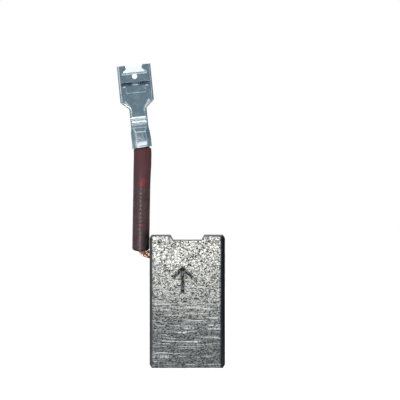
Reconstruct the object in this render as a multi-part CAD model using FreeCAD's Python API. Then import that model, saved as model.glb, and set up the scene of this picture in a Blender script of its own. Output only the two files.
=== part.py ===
import FreeCAD, Part
import math
import os

# Carbon brush with a sleeved copper lead and a folded push-on terminal, in millimetres.
# The origin is the centre of the flat contact face. +Z runs along the block, the wide marked
# face looks towards -Y, and the lead leaves the narrow face on the -X side.

Vector = FreeCAD.Vector

# Carbon block
block_width = 12.5
block_thickness = 6.3
block_length = 22.0
lead_edge_bevel = 0.45
far_edge_bevel = 0.62
face_edge_bevel = 0.62
top_corner_across = 0.33
top_corner_down = 0.6
top_edge_across = 0.5
top_edge_down = 0.28
contact_edge_across = 0.4
contact_edge_down = 0.55

# Spring seat, a notch through the top of the block
seat_mouth_width = 5.65
seat_floor_width = 4.7
seat_depth = 0.84

# Hole that holds the lead, drilled into the narrow face
hole_diameter = 2.9
hole_depth = 5.0
hole_below_top = 3.2
drill_point_angle = 118.0
tamping_recess = 0.7
wire_end_clearance = 0.4

# Copper lead
wire_diameter = 1.3
wire_drop = 0.15
exit_bend_start = 0.62
exit_bend_radius = 2.1
lead_lean = 1.0
lead_run = 14.3
knee_radius = 10.0
knee_to_barrel = 0.2

# Insulating sleeve
sleeve_diameter = 2.85
sleeve_wall = 0.3
sleeve_foot_gap = 1.2
sleeve_foot_slant = 15.0
sleeve_in_barrel = 2.65

# Terminal sheet and lean
sheet = 0.32
fold_inner_radius = 0.14
terminal_lean = 5.8
crimp_clearance = 0.02

# Barrel that grips the sleeve
grip_width = 3.15
grip_height = 2.7
grip_length = 2.6
grip_corner = 0.85
grip_seam = 0.1
bell_length = 0.6
bell_across = 0.06
bell_deep = 0.28
tail_tip = (-1.85, -0.45)
tail_root = (-1.4, -0.06)
tail_far = (1.85, 0.06)

# Barrel that grips the strands
crimp_start = 3.3
crimp_length = 2.6
crimp_width = 2.9
crimp_height = 1.75
crimp_corner = 0.3
crimp_seam = 0.04
crimp_tip = 0.2
groove_width = 0.6
groove_depth = 0.1
groove_places = (0.8, 1.5)
strand_stub = 0.6

# Neck, shoulders and box of the receptacle
neck_length = 0.55
neck_wall_height = 1.0
shoulder_length = 1.2
box_width = 5.6
box_length = 6.1
box_wall_height = 1.3
curl_radius = 0.8
curl_flat = 0.6
curl_turn = 250.0
tab_gap = 0.72
relief_width = 0.45
relief_floor = 0.8
neck_relief_floor = 0.48

# Lip, spring hole, pair of slots and pocket in the floor of the box
lip_length = 1.25
lip_run = 1.08
lip_tip_width = 2.7
lip_root_width = 3.9
lip_bend = 24.0
lip_bend_radius = 0.5
lip_slit = 0.1
spring_hole_diameter = 0.85
spring_hole_from_mouth = 1.9
slots_width = 4.4
slots_bridge = 1.3
slot_height = 0.45
slots_from_mouth = 3.05
line_length = 4.2
line_width = 0.34
line_depth = 0.08
fold_line_gap = 0.12
slot_line_gap = 0.12
pocket_width = 3.2
pocket_height = 1.2
pocket_depth = 0.07
pocket_from_slots = 0.95

# Values that follow from the sizes above
past = 1.0
half_sheet = sheet / 2
fold_radius = fold_inner_radius + half_sheet
half_width = block_width / 2
half_thickness = block_thickness / 2
hole_level = block_length - hole_below_top
wire_level = hole_level - wire_drop
crimp_end = crimp_start + crimp_length
neck_end = crimp_end + neck_length
box_start = neck_end + shoulder_length
mouth = box_start + box_length
axis_height = sheet + crimp_height / 2 - half_sheet
grip_floor = axis_height - grip_height / 2


def in_front_view(x, z):
    return Vector(x, 0, z)


def in_section(w):
    return lambda u, v: Vector(u, v, w)


def in_side_view(u):
    return lambda w, v: Vector(u, v, w)


def trace(start, heading, moves, offset, place):
    """Edges of a line that runs and bends through its moves, set off to its left.

    A move (length, 0) is a straight run, and (radius, angle) is a bend, left when positive.
    The edges come back with the point and the heading that the line ends at.
    """
    x, y = start
    edges = []
    for size, turn in moves:
        left = math.radians(heading + 90)
        first = place(x + offset * math.cos(left), y + offset * math.sin(left))
        if turn == 0:
            x += size * math.sin(left)
            y -= size * math.cos(left)
            last = place(x + offset * math.cos(left), y + offset * math.sin(left))
            edges.append(Part.LineSegment(first, last).toShape())
            continue
        sense = math.copysign(1, turn)
        centre_x = x + sense * size * math.cos(left)
        centre_y = y + sense * size * math.sin(left)
        reach = size - sense * offset
        angles = [math.radians(heading - sense * 90 + turn * part) for part in (0.5, 1)]
        middle, last = [
            place(centre_x + reach * math.cos(angle), centre_y + reach * math.sin(angle))
            for angle in angles
        ]
        edges.append(Part.Arc(first, middle, last).toShape())
        x = centre_x + size * math.cos(angles[1])
        y = centre_y + size * math.sin(angles[1])
        heading += turn
    return edges, (x, y), heading


def sheet_outline(start, heading, moves, place):
    """Closed outline of a strip of sheet whose middle line makes the moves."""
    near, _, _ = trace(start, heading, moves, half_sheet, place)
    far, _, _ = trace(start, heading, moves, -half_sheet, place)
    first_cap = Part.LineSegment(far[0].firstVertex().Point, near[0].firstVertex().Point)
    last_cap = Part.LineSegment(near[-1].lastVertex().Point, far[-1].lastVertex().Point)
    return Part.Wire([first_cap.toShape()] + near + [last_cap.toShape()] + far[::-1])


def prism(points, direction):
    return Part.Face(Part.makePolygon(points + points[:1])).extrude(direction)


def joined(shapes):
    return shapes[0].fuse(shapes[1:]).removeSplitter()


def channel(w, width, height, floor, corner):
    """Open U of sheet: wall, fold, floor, fold, wall."""
    middle = width / 2 - half_sheet
    wall = height - floor - half_sheet - corner
    moves = [(wall, 0), (corner, 90), (2 * (middle - corner), 0), (corner, 90), (wall, 0)]
    return sheet_outline((-middle, height), -90, moves, in_section(w))


def grip_section(w, flare):
    """Nearly closed ring round the sleeve, with a seam at the back. The flare goes from 0 to 1."""
    middle = grip_width / 2 + flare * bell_across - half_sheet
    level = grip_height / 2 + flare * bell_deep - half_sheet
    wing = middle - grip_corner - grip_seam / 2
    bend = (grip_corner, 90)
    wall = (2 * (level - grip_corner), 0)
    moves = [(wing, 0), bend, wall, bend, (2 * (middle - grip_corner), 0), bend, wall, bend, (wing, 0)]
    return sheet_outline((-grip_seam / 2, axis_height + level), 180, moves, in_section(w))


def crimp_line(tip):
    """Middle line of two wings rolled over onto the strands, back to back, each with a tip."""
    middle = crimp_width / 2 - half_sheet
    roll = (middle - crimp_seam / 2 - half_sheet) / 2
    roll_level = crimp_height - half_sheet - roll
    wall = roll_level - half_sheet - crimp_corner
    moves = [
        (tip, 0), (roll, 180), (wall, 0), (crimp_corner, 90), (2 * (middle - crimp_corner), 0),
        (crimp_corner, 90), (wall, 0), (roll, 180), (tip, 0),
    ]
    return (-crimp_seam / 2 - half_sheet, roll_level - tip), 90, moves


def box_section(w):
    """Floor, two walls, and a roll of sheet on each wall that presses on the tab."""
    roll = curl_radius - half_sheet
    middle = box_width / 2 - half_sheet
    roll_level = sheet + tab_gap + curl_radius
    wall = roll_level - half_sheet - fold_radius
    floor = 2 * (middle - fold_radius)
    tip_heading = 270 - curl_turn
    tip = math.radians(tip_heading)
    start = (roll * math.sin(tip) - middle + roll + curl_flat, roll_level - roll * math.cos(tip))
    to_top = curl_turn - 90
    moves = [
        (roll, to_top), (curl_flat, 0), (roll, 90), (wall, 0), (fold_radius, 90), (floor, 0),
        (fold_radius, 90), (wall, 0), (roll, 90), (curl_flat, 0), (roll, to_top),
    ]
    return sheet_outline(start, tip_heading, moves, in_section(w))


def between(*sections):
    return Part.makeLoft(list(sections), True, True)


def make_lip():
    """Lead-in lip, bent outwards at the middle of the mouth, and the piece of floor that it leaves."""
    fold = mouth - lip_length
    root = Part.Face(sheet_outline(
        (fold - past / 2, half_sheet), 0,
        [(past / 2, 0), (lip_bend_radius, -lip_bend), (lip_run, 0)],
        in_side_view(-lip_root_width / 2),
    )).extrude(Vector(lip_root_width, 0, 0))

    def taper(margin, top):
        tip, foot = lip_tip_width / 2 + margin, lip_root_width / 2 + margin
        edge = [(-foot, fold), (foot, fold), (tip, fold + lip_length / 2), (tip, top), (-tip, top),
                (-tip, fold + lip_length / 2)]
        return prism([Vector(u, -2 * lip_length, w) for u, w in edge], Vector(0, 4 * lip_length, 0))

    shape = root.common(taper(0, mouth + past))
    opening = taper(lip_slit, mouth + past).common(Part.makeBox(
        box_width, sheet + 2 * past, lip_length + 2 * past, Vector(-box_width / 2, -past, fold - past)
    ))
    thin_opening = opening.common(Part.makeBox(
        box_width, sheet + past + tab_gap / 2, lip_length + 2 * past,
        Vector(-box_width / 2, -past, fold - past),
    ))
    return shape, thin_opening


def pressed_groove(level, length, width, depth):
    """A straight round-bottomed groove across the floor's outer face."""
    radius = (width ** 2 / 4 + depth ** 2) / (2 * depth)
    return Part.makeCylinder(
        radius, length, Vector(-length / 2, depth - radius, level), Vector(1, 0, 0)
    )


def floor_cuts():
    """Spring hole, slots, and the pocket, crimp grooves and fine lines pressed into the floor."""
    hole = Part.makeCylinder(
        spring_hole_diameter / 2, sheet + past, Vector(0, -past / 2, mouth - spring_hole_from_mouth),
        Vector(0, 1, 0),
    )
    slots_level = mouth - slots_from_mouth
    slot_width = (slots_width - slots_bridge) / 2
    slots = [
        Part.makeBox(
            slot_width, sheet + past, slot_height,
            Vector(u, -past / 2, slots_level - slot_height / 2),
        )
        for u in (-slots_width / 2, slots_bridge / 2)
    ]
    pocket = Part.makeBox(
        pocket_width, past + pocket_depth, pocket_height,
        Vector(-pocket_width / 2, -past, slots_level - pocket_from_slots - pocket_height / 2),
    )
    grooves = [
        pressed_groove(crimp_start + place, crimp_width + past, groove_width, groove_depth)
        for place in groove_places
    ]
    line_levels = (
        mouth - lip_length - fold_line_gap, slots_level - slot_height / 2 - slot_line_gap
    )
    lines = [pressed_groove(level, line_length, line_width, line_depth) for level in line_levels]
    return [hole, pocket] + slots + grooves + lines


def grip_tail_cut():
    """The rear edge is nearly straight, with a short tail on the wall of the -X side."""
    low = -bell_length - past
    edge = [(tail_tip[0], low), tail_tip, tail_root, tail_far, (tail_far[0], low)]
    return prism(
        [Vector(u, grip_floor - past, w) for u, w in edge], Vector(0, grip_height + 2 * past, 0)
    )


def relief(start, width, floor):
    """A round-bottomed notch across both walls, which lets the sheet beside it fold by itself."""
    across = box_width + past
    height = floor + width / 2
    bottom = Part.makeCylinder(
        width / 2, across, Vector(-across / 2, height, start + width / 2), Vector(1, 0, 0)
    )
    above = Part.makeBox(
        across, box_wall_height + past - height, width, Vector(-across / 2, height, start)
    )
    return joined([bottom, above])


def make_terminal():
    """One folded sheet, built upright with its length along Z and its floor towards -Y."""
    grip = between(
        grip_section(-bell_length, 1), grip_section(bell_length / 2, 0),
        grip_section(grip_length, 0),
    )
    step = between(
        channel(grip_length, grip_width, axis_height, grip_floor, grip_corner),
        channel(crimp_start, crimp_width, axis_height, 0, crimp_corner),
    )
    crimp = Part.Face(sheet_outline(*crimp_line(crimp_tip), in_section(crimp_start)))
    crimp = crimp.extrude(Vector(0, 0, crimp_length))
    neck = between(
        channel(crimp_end, crimp_width, axis_height, 0, crimp_corner),
        channel(neck_end, crimp_width, neck_wall_height, 0, crimp_corner),
    )
    shoulders = between(
        channel(neck_end, crimp_width, neck_wall_height, 0, crimp_corner),
        channel(box_start, box_width, box_wall_height, 0, fold_radius),
    )
    box_root = Part.Face(channel(box_start, box_width, box_wall_height, 0, fold_radius))
    box_root = box_root.extrude(Vector(0, 0, relief_width))
    box = Part.Face(box_section(box_start + relief_width))
    box = box.extrude(Vector(0, 0, box_length - relief_width))
    lip, lip_opening = make_lip()
    sheet_metal = joined([grip, step, crimp, neck, shoulders, box_root, box])
    reliefs = [
        relief(crimp_end, neck_length, neck_relief_floor), relief(box_start, relief_width, relief_floor)
    ]
    sheet_metal = sheet_metal.cut([lip_opening, grip_tail_cut()] + reliefs + floor_cuts())
    return joined([sheet_metal, lip])


def lead_route():
    """The lead's middle line, from its end in the block to the barrel, and where it ends."""
    buried = hole_depth - exit_bend_start - wire_end_clearance
    start = (-half_width + hole_depth - wire_end_clearance, wire_level)
    knee_turn = lead_lean + terminal_lean
    moves = [
        (buried, 0), (exit_bend_radius, -90 - lead_lean), (lead_run, 0),
        (knee_radius, knee_turn), (knee_to_barrel, 0),
    ]
    return trace(start, 180, moves, 0, in_front_view)


def tube(edges, diameter):
    first = edges[0]
    direction = first.tangentAt(first.FirstParameter)
    ring = Part.Wire(Part.makeCircle(diameter / 2, first.valueAt(first.FirstParameter), direction))
    return Part.Wire(edges).makePipeShell([ring], True, False)


def oval(w, half_across, half_deep, v):
    """An oval section of the strands, wider across the terminal than it is deep."""
    return Part.Wire(Part.Ellipse(Vector(0, v, w), half_across, half_deep).toShape())


def pressed_strands():
    """The strands in the terminal: gathered, pressed to the crimp's inside, and cut off in front."""
    start, heading, moves = crimp_line(crimp_tip + crimp_clearance)
    inside, _, _ = trace(start, heading, moves, half_sheet + crimp_clearance, in_section(crimp_start))
    under_tips = Part.LineSegment(inside[-1].lastVertex().Point, inside[0].firstVertex().Point)
    pressed = Part.Face(Part.Wire(inside + [under_tips.toShape()]))
    pressed = pressed.extrude(Vector(0, 0, crimp_length))
    across = crimp_width / 2 - sheet - crimp_clearance
    deep = (crimp_height - 2 * sheet) / 2 - crimp_clearance
    middle = crimp_height / 2
    round_end = Part.makeCircle(
        wire_diameter / 2, Vector(0, axis_height, sleeve_in_barrel), Vector(0, 0, 1)
    )
    gather = between(Part.Wire(round_end), oval(crimp_start, across, deep, middle))
    stub = Part.Face(oval(crimp_end, across - fold_radius, deep, middle))
    return joined([pressed, gather, stub.extrude(Vector(0, 0, strand_stub))])


def squeezed(shape, margin):
    """The part of a shape that fits in the barrel's bore with a margin, and all of it below."""
    high = Part.makeBox(
        4 * grip_width, 4 * grip_height, grip_length + past,
        Vector(-2 * grip_width, axis_height - 2 * grip_height, -bell_length),
    )
    corner = grip_corner - half_sheet - margin

    def bore(w, flare):
        across = grip_width / 2 + flare * bell_across - sheet - margin
        deep = grip_height / 2 + flare * bell_deep - sheet - margin
        moves = [(corner, 90), (2 * (deep - corner), 0), (corner, 90), (2 * (across - corner), 0)] * 2
        edges, _, _ = trace((across - corner, axis_height - deep), 0, moves, 0, in_section(w))
        return Part.Wire(edges)

    room = between(
        bore(-bell_length, 1), bore(bell_length / 2, 0), bore(grip_length + past, 0)
    )
    return shape.cut(high.cut(room))


def make_lead(place):
    """The copper lead and the sleeve, in the block's frame, from the same route."""
    edges, end, _ = lead_route()
    to_terminal = place.inverse().toMatrix()
    from_terminal = place.toMatrix()
    top = place.multVec(Vector(0, axis_height, sleeve_in_barrel))
    last_run = Part.LineSegment(in_front_view(*end), top).toShape()
    strands = pressed_strands().transformed(from_terminal)
    wire = joined([tube(edges + [last_run], wire_diameter), strands])

    sleeve_edges = edges[2:] + [last_run]
    foot = sleeve_edges[0].valueAt(sleeve_edges[0].FirstParameter)
    up = sleeve_edges[0].tangentAt(sleeve_edges[0].FirstParameter)
    below = Part.LineSegment(foot - up * sleeve_foot_gap * 2, foot).toShape()
    skin = squeezed(tube([below] + sleeve_edges, sleeve_diameter).transformed(to_terminal), crimp_clearance)
    bore_diameter = sleeve_diameter - 2 * sleeve_wall
    bore = squeezed(
        tube([below] + sleeve_edges, bore_diameter).transformed(to_terminal),
        crimp_clearance + sleeve_wall,
    )
    sleeve = skin.cut(bore).transformed(from_terminal)
    foot_cut = Part.makeBox(
        4 * sleeve_diameter, 4 * sleeve_diameter, 2 * sleeve_diameter,
        Vector(-2 * sleeve_diameter, -2 * sleeve_diameter, -2 * sleeve_diameter),
    )
    foot_cut.rotate(Vector(0, 0, 0), Vector(1, 0, 0), sleeve_foot_slant)
    foot_cut.translate(foot - up * sleeve_foot_gap)
    return wire, sleeve.cut(foot_cut)


def drilled_hole(start, depth):
    """A drilled hole along +X from the narrow face, with the drill's point at its end."""
    radius = hole_diameter / 2
    point = radius / math.tan(math.radians(drill_point_angle / 2))
    inwards = Vector(1, 0, 0)
    flank = Part.makeCylinder(
        radius, depth - start, Vector(start - half_width, 0, hole_level), inwards
    )
    tip = Part.makeCone(radius, 0, point, Vector(depth - half_width, 0, hole_level), inwards)
    return joined([flank, tip])


def make_block():
    """The block is where its front, side and top outlines, each drawn through it, meet."""
    across, deep, high = half_width, half_thickness, block_length
    front = [
        (contact_edge_across - across, 0), (across - contact_edge_across, 0),
        (across, contact_edge_down), (across, high - top_corner_down),
        (across - top_corner_across, high), (seat_mouth_width / 2, high),
        (seat_floor_width / 2, high - seat_depth), (-seat_floor_width / 2, high - seat_depth),
        (-seat_mouth_width / 2, high), (-across + top_corner_across, high),
        (-across, high - top_corner_down), (-across, contact_edge_down),
    ]
    side = [
        (-deep, 0), (deep, 0), (deep, high - top_edge_down), (deep - top_edge_across, high),
        (top_edge_across - deep, high), (-deep, high - top_edge_down),
    ]
    top = [
        (-across, face_edge_bevel - deep), (lead_edge_bevel - across, -deep),
        (across - far_edge_bevel, -deep), (across, face_edge_bevel - deep),
        (across, deep - face_edge_bevel), (across - far_edge_bevel, deep),
        (lead_edge_bevel - across, deep), (-across, deep - face_edge_bevel),
    ]
    front_prism = prism([Vector(x, -deep, z) for x, z in front], Vector(0, block_thickness, 0))
    side_prism = prism([Vector(-across, y, z) for y, z in side], Vector(block_width, 0, 0))
    top_prism = prism([Vector(x, y, 0) for x, y in top], Vector(0, 0, high))
    block = front_prism.common(side_prism).common(top_prism)
    return block.cut(drilled_hole(0, hole_depth)).removeSplitter()


def terminal_place():
    """The terminal stands on the end of the lead's route, leaning to the -X side."""
    _, (x, z), heading = lead_route()
    lean = FreeCAD.Rotation(Vector(0, 1, 0), 90 - heading)
    return FreeCAD.Placement(Vector(x, -axis_height, z), lean)


def main():
    place = terminal_place()
    wire, sleeve = make_lead(place)
    parts = {
        "carbon_block": make_block(),
        "tamping_plug": drilled_hole(tamping_recess, hole_depth).cut(wire),
        "shunt_wire": wire,
        "sleeve": sleeve,
        "receptacle_terminal": make_terminal().transformed(place.toMatrix()),
    }
    os.makedirs("parts", exist_ok=True)
    for name, shape in parts.items():
        solid = shape.Solids[0]
        solid.exportStep(f"parts/{name}.step")
        box = solid.BoundBox
        print(
            f"{name}: {len(shape.Solids)} solid, valid {solid.isValid()}, {solid.Volume:.2f} mm3,",
            f"x {box.XMin:.2f} to {box.XMax:.2f}, y {box.YMin:.2f} to {box.YMax:.2f},",
            f"z {box.ZMin:.2f} to {box.ZMax:.2f}",
        )


main()
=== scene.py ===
# %% [markdown]
# # A carbon brush with a sleeved copper lead
#
# This lesson dresses a finished CAD model in Blender. The model is a carbon brush: a pressed block of
# graphite, a rope of copper strands, a brown-red sleeve and a push-on terminal folded from tinned
# sheet. The CAD model arrives as a fixed frame, and every piece made here sits where that frame says.
# The brush is measured in millimetres, and the studio round it in Blender's metres.

# %% Load the frame
import math

import bmesh
import bpy
import numpy as np
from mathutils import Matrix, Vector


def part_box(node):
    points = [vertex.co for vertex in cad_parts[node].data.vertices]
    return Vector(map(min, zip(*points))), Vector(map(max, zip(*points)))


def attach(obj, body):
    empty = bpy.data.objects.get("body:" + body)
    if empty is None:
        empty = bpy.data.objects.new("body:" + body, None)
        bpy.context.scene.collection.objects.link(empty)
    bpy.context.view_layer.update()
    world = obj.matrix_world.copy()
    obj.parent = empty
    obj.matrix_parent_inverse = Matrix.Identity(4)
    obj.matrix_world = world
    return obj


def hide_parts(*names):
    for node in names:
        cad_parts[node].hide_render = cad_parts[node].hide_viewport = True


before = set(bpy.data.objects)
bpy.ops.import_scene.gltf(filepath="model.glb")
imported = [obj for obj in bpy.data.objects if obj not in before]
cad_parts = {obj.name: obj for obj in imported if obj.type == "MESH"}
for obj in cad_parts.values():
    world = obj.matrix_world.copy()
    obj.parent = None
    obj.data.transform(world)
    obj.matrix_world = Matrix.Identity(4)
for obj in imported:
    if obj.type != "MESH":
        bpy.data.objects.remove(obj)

MM = 0.001
scene = bpy.context.scene
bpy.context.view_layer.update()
for name in sorted(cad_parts):
    low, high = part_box(name)
    print(name, [round(v / MM, 2) for v in low], [round(v / MM, 2) for v in high])

# %% [markdown]
# ## The camera
#
# The picture was taken square on, from far away, so upright lines stay upright and nearly parallel. A
# long lens 0.6 m from the brush gives that look. The focal length follows from the width of the
# picture at the brush: sensor width times distance, divided by the width that is seen.

# %% Camera
def new_object(title, data):
    """A new object that shows the data in the scene."""
    made = bpy.data.objects.new(title, data)
    scene.collection.objects.link(made)
    return made


camera_distance = 0.6
seen_width = 66.4 * MM
aim_across, aim_up = 2.1 * MM, 27.75 * MM
camera_data = bpy.data.cameras.new("camera")
camera_data.sensor_width = 36.0
camera_data.lens = camera_data.sensor_width * camera_distance / seen_width
camera_data.clip_start = 0.01
camera = new_object("camera", camera_data)
camera.location = (aim_across, -camera_distance, aim_up)
camera.rotation_euler = (math.radians(90), 0, 0)
scene.camera = camera
print("lens", round(camera_data.lens, 1), "mm")

# %% [markdown]
# ## A short way to write material nodes
#
# A material is a small graph. Each helper here adds one node and hands back the socket that carries
# its result, so a finish reads like a sum. The pattern nodes all start from the Object coordinates in
# millimetres, which stay with the piece wherever it is drawn.

# %% Material helpers
def new_material(title, **settings):
    """A material with one Principled shader, whose named sockets are set to the given values."""
    made = bpy.data.materials.new(title)
    made.use_nodes = True
    shader = made.node_tree.nodes["Principled BSDF"]
    for socket, value in settings.items():
        shader.inputs[socket.replace("_", " ")].default_value = value
    return made


def add(material, kind, inputs, output=0, **settings):
    """Adds a node, sets its options, fills or links its inputs, and returns one output socket."""
    node = material.node_tree.nodes.new(kind)
    for option, value in settings.items():
        setattr(node, option, value)
    for socket, value in inputs.items():
        if isinstance(value, bpy.types.NodeSocket):
            material.node_tree.links.new(value, node.inputs[socket])
        else:
            node.inputs[socket].default_value = value
    return node.outputs[output]


def math_node(material, operation, first, second=0.0, clamp=False):
    """One step of arithmetic on two numbers."""
    return add(material, "ShaderNodeMath", {0: first, 1: second}, operation=operation, use_clamp=clamp)


def between(material, value, low, high):
    """0 where the value is at or under low, 1 at or over high, and eased from one to the other."""
    inputs = {"Value": value, "From Min": low, "From Max": high}
    return add(material, "ShaderNodeMapRange", inputs, interpolation_type="SMOOTHSTEP")


def mix(material, share, first, second):
    """Two colours mixed: the first where the share is 0 and the second where it is 1."""
    return add(material, "ShaderNodeMix", {0: share, 6: first, 7: second}, 2, data_type="RGBA")


def attribute(material, title):
    """A number that the piece's own mesh carries at each of its points."""
    return add(material, "ShaderNodeAttribute", {}, "Fac", attribute_name=title)


def feed(material, socket, value):
    """Links a result to one socket of the material's shader."""
    shader = material.node_tree.nodes["Principled BSDF"]
    material.node_tree.links.new(value, shader.inputs[socket])


# %% Pattern helpers
def millimetres(material, stretch=(1, 1, 1)):
    """Object coordinates in millimetres. A stretch over 1 packs the pattern tighter on that axis."""
    place = add(material, "ShaderNodeTexCoord", {}, "Object")
    scale = [value / MM for value in stretch]
    return add(material, "ShaderNodeMapping", {"Vector": place, "Scale": scale})


def noise(material, place, scale, detail=3.0, roughness=0.6, twist=0.0):
    """Smooth noise with scale cells to a millimetre. A twist bends the cells into worms."""
    inputs = {
        "Vector": place, "Scale": scale, "Detail": detail, "Roughness": roughness, "Distortion": twist,
    }
    return add(material, "ShaderNodeTexNoise", inputs, "Fac")


def bump(material, height, depth, strength=1.0):
    """Tilts the shading as if the surface rose by depth, in millimetres, where the height is 1."""
    inputs = {"Height": height, "Distance": depth * MM, "Strength": strength}
    feed(material, "Normal", add(material, "ShaderNodeBump", inputs))


def colour(code):
    """A colour written as six hexadecimal digits, turned into the linear values that Blender mixes."""
    parts = [int(code[at:at + 2], 16) / 255 for at in (0, 2, 4)]
    return [part / 12.92 if part <= 0.04045 else ((part + 0.055) / 1.055) ** 2.4 for part in parts] + [1]


# %% [markdown]
# ## Floor and background
#
# The brush stands on a plain white sweep with almost no shadow. Lamps that turn a floor white would
# bleach the tin too. So the floor, as the camera and mirrors see it, is mostly a steady white, with a
# share of real shading that keeps a faint shadow. The world does the same for the background, and
# lights the pieces at a plain level.

# %% Floor
floor_radius, floor_sides = 2.5, 96
steady_strength, steady_share = 1.22, 0.75


def seen_directly(owner):
    """1 for what the camera, a mirror or clear glass sees, and 0 for light that falls on a piece."""
    kinds = ("Is Camera Ray", "Is Glossy Ray", "Is Transmission Ray")
    seen, glossy, clear = [add(owner, "ShaderNodeLightPath", {}, kind) for kind in kinds]
    return math_node(owner, "MAXIMUM", math_node(owner, "MAXIMUM", seen, glossy), clear)


def make_floor(radius, sides):
    """A flat disc at the height of the contact face: a ring of points and one face."""
    turn = np.arange(sides) * 2 * np.pi / sides
    points = np.stack([np.cos(turn), np.sin(turn), np.zeros(sides)], -1) * radius
    mesh = bpy.data.meshes.new("floor")
    mesh.from_pydata(points.tolist(), [], [list(range(sides))])
    return new_object("floor", mesh)


floor = make_floor(floor_radius, floor_sides)
paper = new_material("white_paper", Base_Color=(0.9, 0.9, 0.9, 1), Roughness=0.9)
steady = add(paper, "ShaderNodeEmission", {"Color": (1, 1, 1, 1), "Strength": steady_strength})
share = math_node(paper, "MULTIPLY", seen_directly(paper), steady_share)
shaded = paper.node_tree.nodes["Principled BSDF"].outputs[0]
blended = add(paper, "ShaderNodeMixShader", {0: share, 1: shaded, 2: steady})
paper.node_tree.links.new(blended, paper.node_tree.nodes["Material Output"].inputs["Surface"])
floor.data.materials.append(paper)
print("floor", floor_radius * 2, "m across")

# %% World
room_strength = 0.39
world = bpy.data.worlds.new("studio")
scene.world = world
world.use_nodes = True
room = world.node_tree.nodes["Background"]
room.inputs["Color"].default_value = (1, 1, 1, 1)
room.inputs["Strength"].default_value = room_strength
white = add(world, "ShaderNodeBackground", {"Color": (1, 1, 1, 1), "Strength": 1.0})
chosen = add(world, "ShaderNodeMixShader", {0: seen_directly(world), 1: room.outputs[0], 2: white})
world.node_tree.links.new(chosen, world.node_tree.nodes["World Output"].inputs["Surface"])

# %% [markdown]
# ## Lamps and cards
#
# Wide soft lamps before the brush, behind it and at its right model the shapes. A lamp mirrored in
# flat sheet would burn out a whole panel, so two are hidden from mirrors. What the polished tin shows
# is set by cards, as in a photographer's studio: blue-grey and pale ones for the flat panels and the
# sides, dark ones that draw the edges, and bright ones where the tilted parts look. The camera and
# the soft light don't see them.

# %% Lamps
middle = (0, 0, 25 * MM)


def add_lamp(title, place, width, power, mirrored):
    """A square soft lamp that looks from its place to the brush's middle. Its power is in watts."""
    data = bpy.data.lights.new(title, "AREA")
    data.size = width
    data.energy = power
    lamp = new_object(title, data)
    lamp.location = place
    toward = np.subtract(middle, place)
    yaw = math.atan2(toward[1], toward[0])
    pitch = math.atan2(toward[2], math.hypot(toward[0], toward[1]))
    lamp.rotation_euler = (math.radians(90) + pitch, 0, yaw - math.radians(90))
    lamp.visible_glossy = mirrored
    print(title, power, "W")


add_lamp("front_soft_lamp", (-0.17, -0.55, 0.35), 0.38, 3.3, False)
add_lamp("back_soft_lamp", (-0.05, 0.40, 0.45), 0.40, 1.6, True)
add_lamp("right_soft_lamp", (0.50, 0.08, 0.30), 0.30, 1.0, False)


# %% Cards
def patch(index, turned=False):
    """The faces of a grid of point numbers: each joins a point to its next ones along and across."""
    a, b, c, d = index[:-1, :-1], index[1:, :-1], index[1:, 1:], index[:-1, 1:]
    corners = (a, d, c, b) if turned else (a, b, c, d)
    return np.stack([corner.ravel() for corner in corners], -1)


def make_card(title, bearings, radii, heights, shade, steps=25):
    """A card round the brush between two bearings, in degrees from the camera's side and positive to
    the right. It is a grid of two rows, each a ring with its own radius and height, so equal radii
    make a standing card and equal heights a lying one."""
    turn = np.radians(np.linspace(*bearings, steps))
    ring = np.stack([np.sin(turn), -np.cos(turn)], -1)
    rows = [np.column_stack([ring * radius, np.full(steps, z)]) for radius, z in zip(radii, heights)]
    mesh = bpy.data.meshes.new(title)
    mesh.from_pydata(
        np.concatenate(rows).tolist(), [], patch(np.arange(2 * steps).reshape(2, steps)).tolist()
    )
    paint = bpy.data.materials.new(title)
    paint.use_nodes = True
    glow = add(paint, "ShaderNodeEmission", {"Color": (*shade, 1)})
    paint.node_tree.links.new(glow, paint.node_tree.nodes["Material Output"].inputs["Surface"])
    mesh.materials.append(paint)
    card = new_object(title, mesh)
    card.visible_camera = False
    card.visible_diffuse = False
    card.visible_shadow = False


wall, near_wall, lying = (0.9, 0.9), (0.85, 0.85), (0.001, 0.001)
cards = [
    ("front_card", (-18, 29), wall, (0, 2.6), (0.15, 0.225, 0.275)),
    ("right_card", (38, 172), wall, (0, 1.1), (0.17, 0.25, 0.31)),
    ("left_card", (-165, -44), wall, (0, 1.1), (0.42, 0.5, 0.54)),
    ("floor_card", (-50, 50), (0.13, 0.9), lying, (0.2, 0.27, 0.32)),
    ("right_floor_card", (50, 165), (0.02, 0.07), lying, (0.13, 0.2, 0.25)),
    ("left_floor_card", (-165, -50), (0.02, 0.07), lying, (0.2, 0.28, 0.33)),
    ("left_lying_card", (-165, -50), (0.13, 0.9), lying, (0.3, 0.37, 0.41)),
    ("left_dark_card", (-98, -76), near_wall, (0, 1.1), (0.14, 0.2, 0.25)),
    ("black_card", (48, 132), (0.05, 0.05), (0, 0.028), (0.01, 0.01, 0.012)),
    ("bright_high_card", (-34, 32), near_wall, (0.25, 0.6), (1.35, 1.4, 1.42)),
    ("bright_top_card", (-34, 26), near_wall, (1.5, 3.0), (1.3, 1.36, 1.38)),
    ("bright_floor_card", (-40, 40), (0.034, 0.056), lying, (1.25, 1.27, 1.27)),
    ("sleeve_strip", (-22, -14), (0.062, 0.062), (0.008, 0.024), (30.0, 30.0, 30.0)),
]
for card_settings in cards:
    make_card(*card_settings)
print(len(cards), "cards")

# %% [markdown]
# ## From arrays to a mesh
#
# Every new piece is a surface worked out with numpy: an array of points, in millimetres, and an array
# of faces that name them. One helper turns the arrays into a mesh and measures it. The volume inside
# the faces has to come out above zero, because it is negative when the faces point inwards.

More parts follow.
